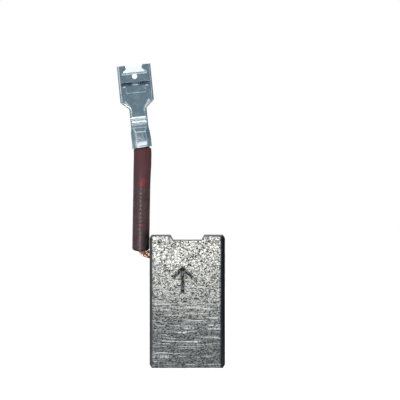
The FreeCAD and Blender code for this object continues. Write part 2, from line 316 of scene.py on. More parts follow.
# %% Mesh helpers
def read_points(mesh):
    """The mesh's points as rows of x, y and z, in millimetres."""
    places = np.empty(len(mesh.vertices) * 3)
    mesh.vertices.foreach_get("co", places)
    return places.reshape(-1, 3) / MM


def measure(made):
    """Prints the volume that the faces enclose, each face adding the cone from the origin to it."""
    mesh = made.data
    mesh.calc_loop_triangles()
    corners = np.empty(len(mesh.loop_triangles) * 3, int)
    mesh.loop_triangles.foreach_get("vertices", corners)
    a, b, c = read_points(mesh)[corners].reshape(-1, 3, 3).transpose(1, 0, 2)
    volume = (a * np.cross(b, c)).sum() / 6
    assert volume > 0, f"the faces of {made.name} point inwards"
    print(made.name, len(a), "triangles,", round(volume, 2), "mm3")


def make_piece(title, points, quads, material, others=()):
    """A mesh object from points in millimetres, four-sided faces and, if any, faces with more sides."""
    mesh = bpy.data.meshes.new(title)
    mesh.from_pydata((points * MM).tolist(), [], quads.tolist() + [list(face) for face in others])
    mesh.materials.append(material)
    mesh.shade_smooth()
    made = new_object(title, mesh)
    measure(made)
    return made


def carry(made, title, values):
    """Stores one number for each point of a piece, for its material to read."""
    made.data.attributes.new(title, "FLOAT", "POINT").data.foreach_set("value", values.ravel())


def closed(index):
    """A grid of point numbers whose first row and first column come again at its end."""
    index = np.concatenate([index, index[:1]])
    return np.concatenate([index, index[:, :1]], 1)


# %% Smooth steps and random lumps
def ease(value, low, high):
    """0 at low or under, 1 at high or over, and a smooth step between."""
    part = np.clip((value - low) / (high - low), 0, 1)
    return part * part * (3 - 2 * part)


def lumps(points, cell, seed, size=64):
    """Smooth random values from -1 to 1. Each corner of a lattice of cells has its own random value,
    and a point takes the eased mix of the eight corners round it."""
    table = np.random.default_rng(seed).uniform(-1, 1, (size, size, size))
    place = points / np.asarray(cell, float)
    base = np.floor(place).astype(int)
    part = ease(place - base, 0, 1)
    total = np.zeros(len(points))
    for corner in np.ndindex(2, 2, 2):
        share = np.where(corner, part, 1 - part).prod(-1)
        total += share * table[tuple(((base + corner) % size).T)]
    return total


# %% [markdown]
# ## The block of graphite
#
# The block is pressed from graphite powder and then ground on its flat faces, while its cut edges stay
# smooth. It could be a cube with bevels, but its pits, grinding lines and pressed mark are real relief.
# So it is a fine box of points. The points near an edge are pressed back onto the plane of that edge's
# bevel. Those over the spring notch are pulled down to its floor, and those on the narrow face are
# rounded into rings that run down the wall of the drilled hole.

# %% Block sizes
block_width, block_thickness, block_length = 12.5, 6.3, 22.0
half_width, half_thickness = block_width / 2, block_thickness / 2
lead_edge, far_edge, face_edge = 0.45, 0.62, 0.62
far_shoulder, far_run_off, far_shoulder_from = 0.3, 0.13, 0.74
corner_across, corner_down = 0.33, 0.6
top_across, top_down = 0.5, 0.28
contact_across, contact_down = 0.4, 0.55
seat_mouth, seat_floor, seat_depth, seat_root = 5.65, 4.7, 0.84, 16.0
hole_radius, hole_depth, hole_level = 1.45, 5.0, 18.8
drill_point = hole_radius / math.tan(math.radians(59))
mark_low, mark_high = 12.2, 17.0
step_across, step_deep, step_up = 0.105, hole_radius / 14, 0.1036


def stretches(corners, step):
    """Values about a step apart that land exactly on each of the corners."""
    runs = [
        np.linspace(a, b, max(1, round((b - a) / step)) + 1)[:-1]
        for a, b in zip(corners, corners[1:])
    ]
    return np.concatenate(runs + [corners[-1:]])


across = stretches([
    -half_width, lead_edge - half_width, -seat_mouth / 2, -seat_floor / 2, seat_floor / 2,
    seat_mouth / 2, half_width - far_edge, half_width,
], step_across)
deep = stretches([
    -half_thickness, face_edge - half_thickness, -hole_radius, hole_radius,
    half_thickness - face_edge, half_thickness,
], step_deep)
upright = stretches([
    0, contact_down, mark_low, mark_high, hole_level - hole_radius, hole_level + hole_radius,
    block_length - corner_down, block_length,
], step_up)
print("grid", len(across), len(deep), len(upright))


# %% Points on the faces of a box
def box_grid(xs, ys, zs):
    """Points on the six faces of a box, each edge's points shared, and the faces that join them."""
    shape = (len(xs), len(ys), len(zs))
    place = np.indices(shape)
    last = np.array(shape).reshape(3, 1, 1, 1) - 1
    outside = ((place == 0) | (place == last)).any(0)
    index = np.full(shape, -1)
    index[outside] = np.arange(outside.sum())
    i, j, k = np.nonzero(outside)
    points = np.stack([xs[i], ys[j], zs[k]], -1)
    faces = [
        patch(index[:, 0, :]), patch(index[:, -1, :], True),
        patch(index[0], True), patch(index[-1]),
        patch(index[:, :, 0], True), patch(index[:, :, -1]),
    ]
    return points, np.concatenate(faces), (i == 0)


points, quads, narrow = box_grid(across, deep, upright)
flat = points.copy()
print("points", len(points), "faces", len(quads))


# %% Notch and bevels
def lower_seat(points):
    """Heights over the notch are squeezed into the room that is left above the notch's root."""
    slope = np.clip((seat_mouth / 2 - np.abs(points[:, 0])) / ((seat_mouth - seat_floor) / 2), 0, 1)
    top = block_length - seat_depth * slope
    share = np.clip((points[:, 2] - seat_root) / (block_length - seat_root), 0, None)
    points[:, 2] += share * (top - block_length)


def bevel_planes():
    """Each bevel as the direction it faces and a point on it."""
    planes = []
    for y in (-1, 1):
        planes += [
            ((-face_edge, y * lead_edge, 0), (lead_edge - half_width, y * half_thickness, 0)),
            ((face_edge, y * far_edge, 0), (half_width - far_edge, y * half_thickness, 0)),
            ((far_run_off, y * far_shoulder, 0), (half_width - far_shoulder_from, y * half_thickness, 0)),
            ((0, y * top_down, top_across), (0, y * half_thickness, block_length - top_down)),
        ]
    for x in (-1, 1):
        planes += [
            ((x * corner_down, 0, corner_across), (x * half_width, 0, block_length - corner_down)),
            ((x * contact_down, 0, -contact_across), (x * half_width, 0, contact_down)),
        ]
    return planes


def press_bevels(points, rounds=3):
    """Each point beyond a bevel's plane goes straight back onto it. Returns how far each one went."""
    start = points.copy()
    for _ in range(rounds):
        for direction, through in bevel_planes():
            normal = np.array(direction, float) / np.linalg.norm(direction)
            beyond = (points - through) @ normal
            points -= np.clip(beyond, 0, None)[:, None] * normal
    return np.linalg.norm(points - start, axis=1)


lower_seat(points)
bevelled = ease(press_bevels(points), 0.0, 0.03)
print(len(bevel_planes()), "bevels,", int((bevelled > 0.5).sum()), "points pressed back")

# %% Drilled hole
ring_wall, ring_square = 0.45, 1.7


def sink_hole(points, narrow):
    """Squares of points round the hole's middle become rings. The rim is the ring of size 1, the rings
    inside it run down the wall and the drill's cone, and those outside it ease back to squares."""
    offset = points[:, 1:] - (0, hole_level)
    ring = np.abs(offset).max(-1) / hole_radius
    reach = np.linalg.norm(offset, axis=-1)
    near = narrow & (ring < ring_square) & (reach > 0)
    direction = offset[near] / reach[near, None]
    ring = ring[near]
    rounded = np.interp(
        ring, [0, ring_wall, 1, ring_square], [0, hole_radius, hole_radius, ring_square * hole_radius]
    )
    square = 1 - ease(ring, 1, ring_square)
    radius = rounded * square + reach[near] * (1 - square)
    points[near, 1:] = direction * radius[:, None] + (0, hole_level)
    points[near, 0] += np.interp(ring, [0, ring_wall, 1], [hole_depth + drill_point, hole_depth, 0])
    centre = narrow & (np.linalg.norm(offset, axis=-1) == 0)
    points[centre, 0] += hole_depth + drill_point
    in_hole = np.zeros(len(points))
    in_hole[near] = 1 - ease(ring, 0.96, 1.04)
    in_hole[centre] = 1
    return in_hole


in_hole = sink_hole(points, narrow)
print("lowest", points.min(0).round(2), "highest", points.max(0).round(2))


# %% [markdown]
# ## The pressed mark and the ground surface
#
# A pressed mark on the wide face shows which way up the brush goes. Here it is a plain arrow. The depth
# at a point comes from its distance to the nearest stroke, so the strokes have round ends and soft
# flanks. Grinding leaves long level scratches on the lower part and small torn pits near the top, which
# are two patterns of random lumps, one stretched along X and one even. Beside the bevels and the notch
# a thin stripe is painted dark, wider by the far edge as painted shade, and the drill has chipped the
# rim of its hole.

# %% Arrow
def stroke_distance(x, z, strokes):
    """Distance from each point to the nearest of the straight strokes."""
    nearest = np.full(len(x), np.inf)
    for (x0, z0), (x1, z1) in strokes:
        along = ((x - x0) * (x1 - x0) + (z - z0) * (z1 - z0)) / ((x1 - x0) ** 2 + (z1 - z0) ** 2)
        along = np.clip(along, 0, 1)
        gap = np.hypot(x - x0 - along * (x1 - x0), z - z0 - along * (z1 - z0))
        nearest = np.minimum(nearest, gap)
    return nearest


arrow_x, arrow_low, arrow_high, head = -0.75, 12.7, 16.5, 1.45
arrow = [
    ((arrow_x, arrow_low), (arrow_x, arrow_high)),
    ((arrow_x - head, arrow_high - head), (arrow_x, arrow_high)),
    ((arrow_x + head, arrow_high - head), (arrow_x, arrow_high)),
]
x, y, z = points.T
worm = lumps(points, (0.42, 0.42, 0.3), 3) + 0.6 * lumps(points, (0.2, 0.2, 0.17), 4)
ragged = stroke_distance(x, z, arrow) + 0.11 * worm
front = flat[:, 1] == -half_thickness
mark = np.where(front, 1 - ease(ragged, 0.2, 0.36), 0)
print("arrow", round(arrow_high - arrow_low, 2), "mm tall")

# %% Dark edges
notch = [
    (-half_width, block_length), (-seat_mouth / 2, block_length),
    (-seat_floor / 2, block_length - seat_depth),
]
notch += [(-corner_x, corner_z) for corner_x, corner_z in notch[::-1]]
notch_line = 0.8 * (1 - ease(stroke_distance(x, z, list(zip(notch, notch[1:]))), 0.08, 0.2))
wide_face = np.abs(flat[:, 1]) == half_thickness
# The wider stripe by the far edge is painted shade.
far_edge_shade = 0.72 * wide_face * ease(x, half_width - 0.92, half_width - 0.78)
lead_stripe = 0.6 * wide_face * ease(-x, half_width - lead_edge - 0.16, half_width - lead_edge - 0.04)
dark_share = np.max([bevelled, notch_line, far_edge_shade, lead_stripe], axis=0)
print("dark edges on", round(100 * (dark_share > 0.5).mean(), 1), "% of the points")

# %% Relief
mark_depth, chip_depth, skin_depth = 0.2, 0.1, 0.004
torn_depth, scratch_depth = 0.014, 0.012
scratch = lumps(points, (2.6, 2.6, 0.22), 5) + 0.5 * lumps(points, (1.1, 1.1, 0.13), 6)
torn = ease(z + 1.5 * lumps(points, (3, 3, 2), 7), 8.0, 15.0)
ground = (1 - bevelled) * (1 - in_hole)
relief = ground * (torn_depth * worm * torn + scratch_depth * scratch * (1 - torn))

outward = np.zeros_like(points)
for axis, half in ((0, half_width), (1, half_thickness)):
    outward[:, axis] = np.sign(flat[:, axis]) * (np.abs(flat[:, axis]) == half)
outward /= np.maximum(np.linalg.norm(outward, axis=1), 1)[:, None]
rim = np.hypot(y, z - hole_level)
chip = narrow * (1 - ease(np.abs(rim - hole_radius), 0.0, 0.28)) * (1 - in_hole)
chipped = chip_depth * chip * (1 + lumps(points, (0.3, 0.3, 0.3), 8))
depth = mark_depth * mark + chipped - np.minimum(relief, 0) + skin_depth
points = points - outward * (depth * (ground > 0))[:, None]
print("mark is", round(depth[mark > 0.9].mean(), 2), "mm deep")

# %% [markdown]
# ## The finish of the block
#
# Ground graphite glitters. Flecks where the grinding has polished the grains are painted nearly white,
# a painted highlight, the torn pits between them almost black, and towards the contact face the surface
# is a slate grey with thin bright lines. The top is painted lighter than the lower part, partly a real
# change of finish and partly painted light from above. The smooth bevels are dark slate, partly their
# own skin and partly painted shade, and paler on the side of the lead, a painted light from the left.
# The material mixes those colours by noise, by height on the block, and by the numbers that the mesh
# carries for its dark edges, its mark and its hole.

# %% Grains
graphite = new_material("ground_graphite", Metallic=0.0, Specular_IOR_Level=0.25)
place = millimetres(graphite)
sideways = add(graphite, "ShaderNodeSeparateXYZ", {"Vector": place}, "X")
height = add(graphite, "ShaderNodeSeparateXYZ", {"Vector": place}, "Z")
drift = noise(graphite, place, 0.4, 2.0)
level = math_node(graphite, "ADD", height, math_node(graphite, "MULTIPLY", drift, 1.5))
fleck = noise(graphite, millimetres(graphite, (0.8, 0.8, 1.15)), 4.1, 3.0, 0.8, 0.9)
dash = noise(graphite, millimetres(graphite, (0.75, 0.75, 1.3)), 4.9, 3.0, 0.8, 0.5)
top_finish_and_light = between(graphite, level, 5.0, 22.0)
pattern = mix(graphite, between(graphite, level, 12.0, 20.0), dash, fleck)

# The top palette is lighter than the lower one: partly a real change of finish, partly painted light from
# above. Its near-white flecks are painted highlights.
dark = mix(graphite, top_finish_and_light, colour("202224"), colour("0d0e0e"))
middling = mix(graphite, top_finish_and_light, colour("4b4e50"), colour("898a85"))
bright = mix(graphite, top_finish_and_light, colour("7e8283"), colour("fafaf3"))
speckled = mix(graphite, between(graphite, pattern, 0.452, 0.48), dark, middling)
speckled = mix(graphite, between(graphite, pattern, 0.515, 0.53), speckled, bright)
print("graphite has", len(graphite.node_tree.nodes), "nodes for its grains")


# %% Grinding lines
def ground_lines(tilt, cells, low, high):
    """Long thin lines across the face, tilted by some degrees and broken into dashes: noise that is
    drawn out along X, times two coarser patterns of gaps."""
    turn = (0, math.radians(tilt), 0)
    slanted = add(graphite, "ShaderNodeMapping", {"Vector": place, "Rotation": turn})
    thin = add(graphite, "ShaderNodeMapping", {"Vector": slanted, "Scale": (0.02, 0.02, 1)})
    lines = between(graphite, noise(graphite, thin, cells, 1.0, 0.5), low, high)
    long_gaps = noise(graphite, millimetres(graphite, (0.2, 0.2, 1.2)), 1.3, 1.0)
    short_gaps = noise(graphite, millimetres(graphite, (1, 1, 0.3)), 5.0, 2.0)
    lines = math_node(graphite, "MULTIPLY", lines, between(graphite, long_gaps, 0.46, 0.52))
    return math_node(graphite, "MULTIPLY", lines, between(graphite, short_gaps, 0.38, 0.5))


low_down = math_node(graphite, "SUBTRACT", 0.9, between(graphite, level, 14.0, 18.5), True)
line_sets = [(-0.4, 9.0, 0.62, 0.65), (-1.2, 8.2, 0.63, 0.66), (-2.6, 6.8, 0.66, 0.7)]
for line_set in line_sets:
    lines = math_node(graphite, "MULTIPLY", ground_lines(*line_set), low_down)
    speckled = mix(graphite, lines, speckled, colour("d2d6d4"))
print(len(line_sets), "sets of lines")

# %% Edges, mark and hole of the block
shade = noise(graphite, place, 2.0)
# The bevels are painted dark slate, partly their own smooth skin and partly painted shade. The bevel on
# the lead's side is painted paler, a painted light from the left.
slate_and_shade = mix(graphite, shade, colour("0a0e14"), colour("181d24"))
lead_side_light = mix(graphite, shade, colour("2c2f33"), colour("3f4245"))
slate_and_shade = mix(graphite, between(graphite, sideways, -5.75, -5.6), lead_side_light, slate_and_shade)
smooth_share = attribute(graphite, "bevelled")
base = mix(graphite, smooth_share, speckled, slate_and_shade)
crumb = between(graphite, noise(graphite, place, 3.6, 2.0, 0.7), 0.5, 0.6)
crumbled = mix(graphite, crumb, colour("08090a"), colour("6b7072"))
base = mix(graphite, attribute(graphite, "mark"), base, crumbled)
base = mix(graphite, attribute(graphite, "in_hole"), base, colour("1b1a19"))
feed(graphite, "Base Color", base)
feed(graphite, "Roughness", add(
    graphite, "ShaderNodeMapRange", {"Value": smooth_share, "To Min": 0.62, "To Max": 0.42}
))
bump(graphite, pattern, 0.05, 0.5)

block = make_piece("carbon_block_surface", points, quads, graphite)
carry(block, "bevelled", dark_share)
carry(block, "mark", np.maximum(mark, np.clip(chip, 0, 1) * 0.8))
carry(block, "in_hole", in_hole)
block.data.set_sharp_from_angle(angle=math.radians(24))
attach(block, "root")
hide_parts("carbon_block")

# %% [markdown]
# ## The line of the lead
#
# The lead leaves the hole level, turns up beside the block and climbs to the terminal with a slight
# lean. It could be drawn by hand, but the sleeve and every strand have to follow the same line. So the
# line is one smooth NURBS curve through the corners of its route, Blender works it out, and its points
# are read back to carry the pieces along.

# %% Route of the lead
route_corners = [
    (-1.65, 18.65), (-3.49, 18.65), (-7.767, 18.65), (-7.692, 22.92),
    (-7.493, 34.38), (-7.470, 35.68), (-7.601, 36.97), (-8.202, 42.89),
]
barrel_to_end, barrel_to_crimp = 6.45, 3.3


def distances(line):
    """The distance along a line to each of its points."""
    return np.concatenate([[0], np.cumsum(np.hypot(*np.diff(line, axis=0).T))])


def smooth_line(corners):
    """Points of the NURBS curve that the corners pull on, as x and z in millimetres."""
    data = bpy.data.curves.new("lead_line", "CURVE")
    data.dimensions = "3D"
    data.resolution_u = 40
    spline = data.splines.new("NURBS")
    spline.points.add(len(corners) - 1)
    flat_list = np.array([(x * MM, 0, z * MM, 1) for x, z in corners]).ravel()
    spline.points.foreach_set("co", flat_list)
    spline.order_u = 3
    spline.use_endpoint_u = True
    carrier = bpy.data.objects.new("lead_line", data)
    mesh = bpy.data.meshes.new_from_object(carrier)
    line = read_points(mesh)[:, [0, 2]]
    bpy.data.objects.remove(carrier)
    bpy.data.meshes.remove(mesh)
    bpy.data.curves.remove(data)
    return line


def on_line(distance, line, far):
    """Places on a line at some distances along it, and the directions across it in the picture's
    plane. The direction along comes from the places a little before and after."""
    def at(value):
        return np.stack([np.interp(value, far, line[:, 0]), np.interp(value, far, line[:, 1])], -1)

    place, along = at(distance), at(distance + 0.05) - at(distance - 0.05)
    along /= np.linalg.norm(along, axis=-1, keepdims=True)
    level = np.zeros_like(distance)
    point = np.stack([place[..., 0], level, place[..., 1]], -1)
    across = np.stack([along[..., 1], level, -along[..., 0]], -1)
    return point, across


lead_line = smooth_line(route_corners)
lead_far = distances(lead_line)
lead_length = lead_far[-1]
barrel_start = lead_length - barrel_to_end
print("lead", round(lead_length, 2), "mm, barrel at", round(barrel_start, 2))

# %% [markdown]
# ## The copper strands
#
# The lead is a limp rope of hair-thin copper. Seven bundles of seven strands, each twisted and then
# twisted together the other way, show the same lay as the real one. A strand is a thin tube whose
# middle winds round the bundle's middle, which winds round the lead's line. Where the rope leaves the
# hole the strands loosen, and in the crimp they are pressed flat and cut off.

# %% Strands
strand_radius, bundle_radius, rope_radius = 0.078, 0.155, 0.42
rope_lay, bundle_lay = 11.0, 4.5
bundles, members = 7, 7
strand_count = bundles * members
stations, sides = 150, 7
deep_way = np.array([0.0, 1.0, 0.0])


def wound_offsets(far):
    """How far each strand is from the lead's line at each station, across and deep: a circle round
    the line plus a smaller circle round the bundle's middle, each turned by the distance along."""
    rng = np.random.default_rng(11)
    bundle = np.repeat(np.arange(bundles), members)
    member = np.tile(np.arange(members), bundles)
    rope_turn = bundle * math.tau / (bundles - 1) + far * math.tau / rope_lay
    strand_turn = member * math.tau / (members - 1) - far * math.tau / bundle_lay
    rope_reach = np.where(bundle == 0, 0, rope_radius)
    strand_reach = np.where(member == 0, 0, bundle_radius)
    offset_a = rope_reach * np.cos(rope_turn) + strand_reach * np.cos(strand_turn)
    offset_b = rope_reach * np.sin(rope_turn) + strand_reach * np.sin(strand_turn)
    phase = rng.uniform(0, math.tau, (2, strand_count))
    wander = 0.05 * np.sin(far * math.tau / 2.3 + phase[:, None, :])
    loose = ease(far, 3.4, 4.6) * (1 - ease(far, 6.6, 8.0))
    spread = 1 + 0.12 * loose
    return offset_a * spread + wander[0] * loose, offset_b * spread + wander[1] * loose


def make_strands():
    """Each station of a strand has a ring of points round it, and each end is closed by one face."""
    rng = np.random.default_rng(12)
    reach = lead_length - rng.uniform(0, 0.35, strand_count)
    far = np.linspace(0, 1, stations)[:, None] * reach
    offset_a, offset_b = wound_offsets(far)
    crimp_from = barrel_start + barrel_to_crimp
    pressed = ease(far, crimp_from - 0.7, crimp_from)
    offset_a = offset_a * (1 + 0.62 * pressed)
    offset_b = offset_b * (1 - 0.18 * pressed)
    point, across = on_line(far, lead_line, lead_far)
    centre = point + across * offset_a[..., None] + deep_way * offset_b[..., None]
    turn = np.arange(sides) * math.tau / sides
    ring = across[..., None, :] * np.cos(turn)[:, None] + deep_way * np.sin(turn)[:, None]
    points = centre[..., None, :] + strand_radius * ring
    index = np.arange(points.size // 3).reshape(stations, strand_count, sides)
    loop = np.concatenate([index, index[..., :1]], -1)
    quads = np.concatenate([patch(loop[:, strand], True) for strand in range(strand_count)])
    return points.reshape(-1, 3), quads, np.concatenate([index[0, :, ::-1], index[-1]])


strand_points, strand_quads, strand_caps = make_strands()
print(strand_count, "strands of", stations, "stations")

# %% Copper
copper = new_material("copper_strands", Metallic=1.0, Roughness=0.2)
place = millimetres(copper)
tint = between(copper, noise(copper, place, 1.7, 3.0), 0.38, 0.62)
stain = between(copper, noise(copper, place, 5.0, 2.0), 0.54, 0.64)
copper_colour = mix(copper, tint, colour("6a4236"), colour("ffd8c6"))
feed(copper, "Base Color", mix(copper, stain, copper_colour, colour("3e1f1a")))
strands = make_piece("copper_strands", strand_points, strand_quads, copper, strand_caps)
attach(strands, "root")
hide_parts("shunt_wire")

# %% [markdown]
# ## The tamped powder in the hole
#
# The strands are held by metal powder hammered in round them. Only its rough face shows, a little
# below the rim. It is a ring carried round the wire: its section goes across the rough face, down the
# hole's wall, along the drill's cone and back up beside the wire, and closes on itself.

# %% Tamping
wire_radius, wire_drop = 0.6, 0.15
face_below_rim, wall_gap = 0.7, 0.02


def make_tamping(turns=72):
    """A closed section turned round the wire. Each of its points lies a share of the way from the
    wire's surface to the wall of the hole."""
    share = np.concatenate([np.linspace(0, 1, 12), np.ones(10), np.linspace(1, 0, 6)[1:], np.zeros(10)])
    down = np.concatenate([
        np.zeros(12), np.linspace(0, 1, 12)[1:-1], np.linspace(1, 1.1, 6)[1:],
        np.linspace(1.1, 0, 12)[1:-1],
    ])
    turn = np.arange(turns) * math.tau / turns
    share, turn = np.meshgrid(share, turn, indexing="ij")
    down = np.broadcast_to(down[:, None], share.shape)
    reach = wire_radius + (hole_radius - wall_gap - wire_radius) * share
    y = np.cos(turn) * reach
    z = np.sin(turn) * reach - wire_drop * (1 - share) + hole_level
    x = -half_width + face_below_rim + down * (hole_depth - 0.75)
    points = np.stack([x, y, z], -1).reshape(-1, 3)
    rough = 0.16 * lumps(points, 0.5, 21) + 0.08 * lumps(points, 0.22, 22)
    points[:, 0] += np.where(down.ravel() == 0, np.abs(rough), 0)
    return points, patch(closed(np.arange(share.size).reshape(share.shape)), True)


tamping = new_material("tamped_powder", Roughness=0.8)
powder = noise(tamping, millimetres(tamping), 4.0, 4.0, 0.7)
feed(tamping, "Base Color", mix(
    tamping, between(tamping, powder, 0.45, 0.62), colour("1d1a18"), colour("6a4838")
))
bump(tamping, powder, 0.08)
plug = make_piece("tamped_powder", *make_tamping(), tamping)
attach(plug, "root")
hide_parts("tamping_plug")

# %% [markdown]
# ## The sleeve
#
# The sleeve is a soft coated braid, dull brown-red, through which the twist of the rope shows as a row
# of faint bumps. A plain tube would look like plastic pipe. So the wall is one closed grid: round the
# lead one way, and the other way up the outside, over the top edge, down the inside and round the foot.
# The foot is cut on the slant, and in the barrel the tube is squeezed to the shape of the sheet.

# %% Line of the sleeve
sleeve_radius, sleeve_wall = 1.425, 0.3
foot_at, foot_slant = 19.6, math.radians(15.0)
barrel_half_width, barrel_half_depth, barrel_grip = 1.235, 1.01, 2.6
bend_top = (route_corners[2][1] + route_corners[3][1]) / 2
above_bend = lead_line[lead_line[:, 1] > bend_top]
lean = (above_bend[10] - above_bend[0]) / (above_bend[10] - above_bend[0])[1]
sleeve_line = np.concatenate([[above_bend[0] - 3 * lean], above_bend])
sleeve_far = distances(sleeve_line)
barrel_on_sleeve = sleeve_far[-1] - lead_length + barrel_start
print("the sleeve's line starts at", sleeve_line[0].round(2))


# %% Sleeve
def squeezed_radius(turn, beyond, power=3.5):
    """The radius inside the barrel, where the section is a rounded rectangle: the points for which
    |across / half width| and |deep / half depth|, each to the given power, add up to 1. Near the
    barrel's mouth the rectangle widens."""
    mouth = np.clip((0.3 - beyond) / 0.9, 0, 1)
    wide, thick = barrel_half_width + 0.06 * mouth, barrel_half_depth + 0.28 * mouth
    return (np.abs(np.cos(turn) / wide) ** power + np.abs(np.sin(turn) / thick) ** power) ** (-1 / power)


def outer_radius(turn, far, level):
    """The radius of the skin: a circle that the braid's bumps and a slow sway lower a little and that
    bulges to the right, eased into the squeezed shape where the barrel starts."""
    beyond = far - barrel_on_sleeve
    gripped = ease(beyond, -0.3, -0.1)
    squeezed = squeezed_radius(turn, beyond)
    outer = np.minimum(sleeve_radius, sleeve_radius + (squeezed - sleeve_radius) * gripped)
    braid = np.cos(far * math.tau / 1.32 + turn) * np.cos(far * math.tau / 1.32 - turn)
    around = np.stack([np.cos(turn), np.sin(turn), far / 2.4], -1).reshape(-1, 3)
    sway = 0.02 * np.abs(lumps(around, 1.0, 31).reshape(turn.shape))
    bumps = 0.036 * (1 - ease(level, 28.5, 31.5)) * (0.4 + 0.6 * ease(-np.sin(turn), 0.3, 0.9))
    bulge = (0.03 + 0.09 * ease(level, 30.0, 34.5)) * ease(np.cos(turn), 0.0, 0.9)
    return outer + (1 - gripped) * (bulge - bumps * (1 - braid) / 2 - sway)


def make_sleeve(turns=96, rows=300):
    """A grid whose rows go up the outside and down the inside, with rounded rims, and whose columns
    go round. The foot's rows are shifted along by the slant."""
    rim = np.array([0.35, 0.12, 0.0])
    outside = np.concatenate([rim, np.zeros(rows - 6), rim[::-1]])
    inset = np.concatenate([outside, 1 - outside])
    up = np.linspace(0, 1, rows)
    along = np.concatenate([up, up[::-1]])
    inset, turn = np.meshgrid(inset, np.arange(turns) * math.tau / turns, indexing="ij")
    foot = np.interp(foot_at, sleeve_line[:, 1], sleeve_far)
    foot = foot + np.tan(foot_slant) * sleeve_radius * np.sin(turn)
    far = foot + along[:, None] * (barrel_on_sleeve + barrel_grip - foot)
    point, across = on_line(far, sleeve_line, sleeve_far)
    radius = outer_radius(turn, far, point[..., 2]) - sleeve_wall * inset
    points = point + radius[..., None] * (
        across * np.cos(turn)[..., None] + deep_way * np.sin(turn)[..., None]
    )
    quads = patch(closed(np.arange(turn.size).reshape(turn.shape)), True)
    return points.reshape(-1, 3), quads, turn


sleeve_points, sleeve_quads, sleeve_turn = make_sleeve()
print("sleeve from", sleeve_points[:, 2].min().round(2), "to", sleeve_points[:, 2].max().round(2))

# %% [markdown]
# ## The finish of the sleeve
#
# The coat is brown and a little glossy low down, duller and redder towards the terminal, rubbed red in
# small spots, and painted dark beside the block and along the cut foot, a painted shade. Those places
# follow the tube, so its mesh carries a number for each of them.

# %% Coat
sleeve_coat = new_material("sleeve_coat", Specular_IOR_Level=0.3)
cloud = noise(sleeve_coat, millimetres(sleeve_coat), 0.6, 3.0)
weave = noise(sleeve_coat, millimetres(sleeve_coat, (1, 1, 0.5)), 5.0, 2.0)
coat = mix(sleeve_coat, between(sleeve_coat, cloud, 0.35, 0.65), colour("3b292b"), colour("443033"))
coat = mix(sleeve_coat, between(sleeve_coat, weave, 0.45, 0.7), coat, colour("4d3a3d"))
# The last colour is painted shade, beside the block and along the cut foot.
for title, code in (("reddish", "4a272b"), ("rubbed", "7d1a20"), ("block_and_foot_shade", "120f12")):
    coat = mix(sleeve_coat, attribute(sleeve_coat, title), coat, colour(code))
feed(sleeve_coat, "Base Color", coat)
feed(sleeve_coat, "Roughness", add(
    sleeve_coat, "ShaderNodeMapRange",
    {"Value": attribute(sleeve_coat, "reddish"), "To Min": 0.33, "To Max": 0.7}
))
bump(sleeve_coat, weave, 0.015, 0.4)
sleeve = make_piece("sleeve_tube", sleeve_points, sleeve_quads, sleeve_coat)

# %% Wear and painted shade on the sleeve
facing = -math.pi / 2
spots = [
    (facing + 0.22, 30.8, 0.62, 1.0), (facing + 0.05, 30.3, 0.5, 0.6),
    (facing + 0.15, 23.6, 0.36, 0.6), (0.9, 27.0, 0.4, 0.9), (2.2, 34.0, 0.5, 0.9),
]
sleeve_level = sleeve_points[:, 2].reshape(sleeve_turn.shape)
# Painted shade goes on the side next to the block, low down, and along the rim of the cut foot.
above_foot = sleeve_level - foot_at - math.tan(foot_slant) * sleeve_radius * np.sin(sleeve_turn)
next_to_block = ease(np.cos(sleeve_turn), 0.1, 0.75) * (1 - ease(sleeve_level, 21.2, 24.0))
rubbed = np.zeros_like(sleeve_level)
for angle, spot_level, size, strength in spots:
    round_way = (sleeve_turn - angle + math.pi) % math.tau - math.pi
    gap = np.hypot(round_way * sleeve_radius, sleeve_level - spot_level)
    gap += 0.12 * lumps(sleeve_points, 0.35, 32).reshape(gap.shape)
    rubbed = np.maximum(rubbed, strength * (1 - ease(gap, 0.35 * size, 1.1 * size)))
carry(sleeve, "reddish", ease(sleeve_level, 28.0, 35.0))
carry(sleeve, "block_and_foot_shade", np.maximum(0.85 * next_to_block, 0.8 * (1 - ease(above_foot, 0.1, 0.5))))
carry(sleeve, "rubbed", rubbed)
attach(sleeve, "root")
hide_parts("sleeve")
print(len(spots), "rubbed spots")

# %% [markdown]
# ## The terminal
#
# The push-on terminal is punched and folded from one sheet of tinned brass. Its shape in the CAD model
# is right, but every edge there is perfectly sharp, and sharp edges catch no light. So a merged copy
# gets a small round bevel on its edges, as tumbling and plating leave on the real sheet. Its flat
# panels are then cut into small squares, which lets a formula bend the barrel a little and gives the
# finish points to carry its numbers on.

# %% Form of the sheet
barrel_at = np.array([-7.549992, -1.035, 36.468535])
terminal_lean = math.radians(5.8)
terminal_axes = np.array([
    [math.cos(terminal_lean), 0, math.sin(terminal_lean)], [0, 1, 0],
    [-math.sin(terminal_lean), 0, math.cos(terminal_lean)],
])
bell_depth, flank_shift, swell_depth = 0.17, 0.1, 0.02
panel_from, pocket_to, pocket_side = 8.9, 10.4, 1.7


def in_terminal(points):
    """A point's place in the terminal's own directions: across u, deep v and along w."""
    return ((points - barrel_at) @ terminal_axes.T).T


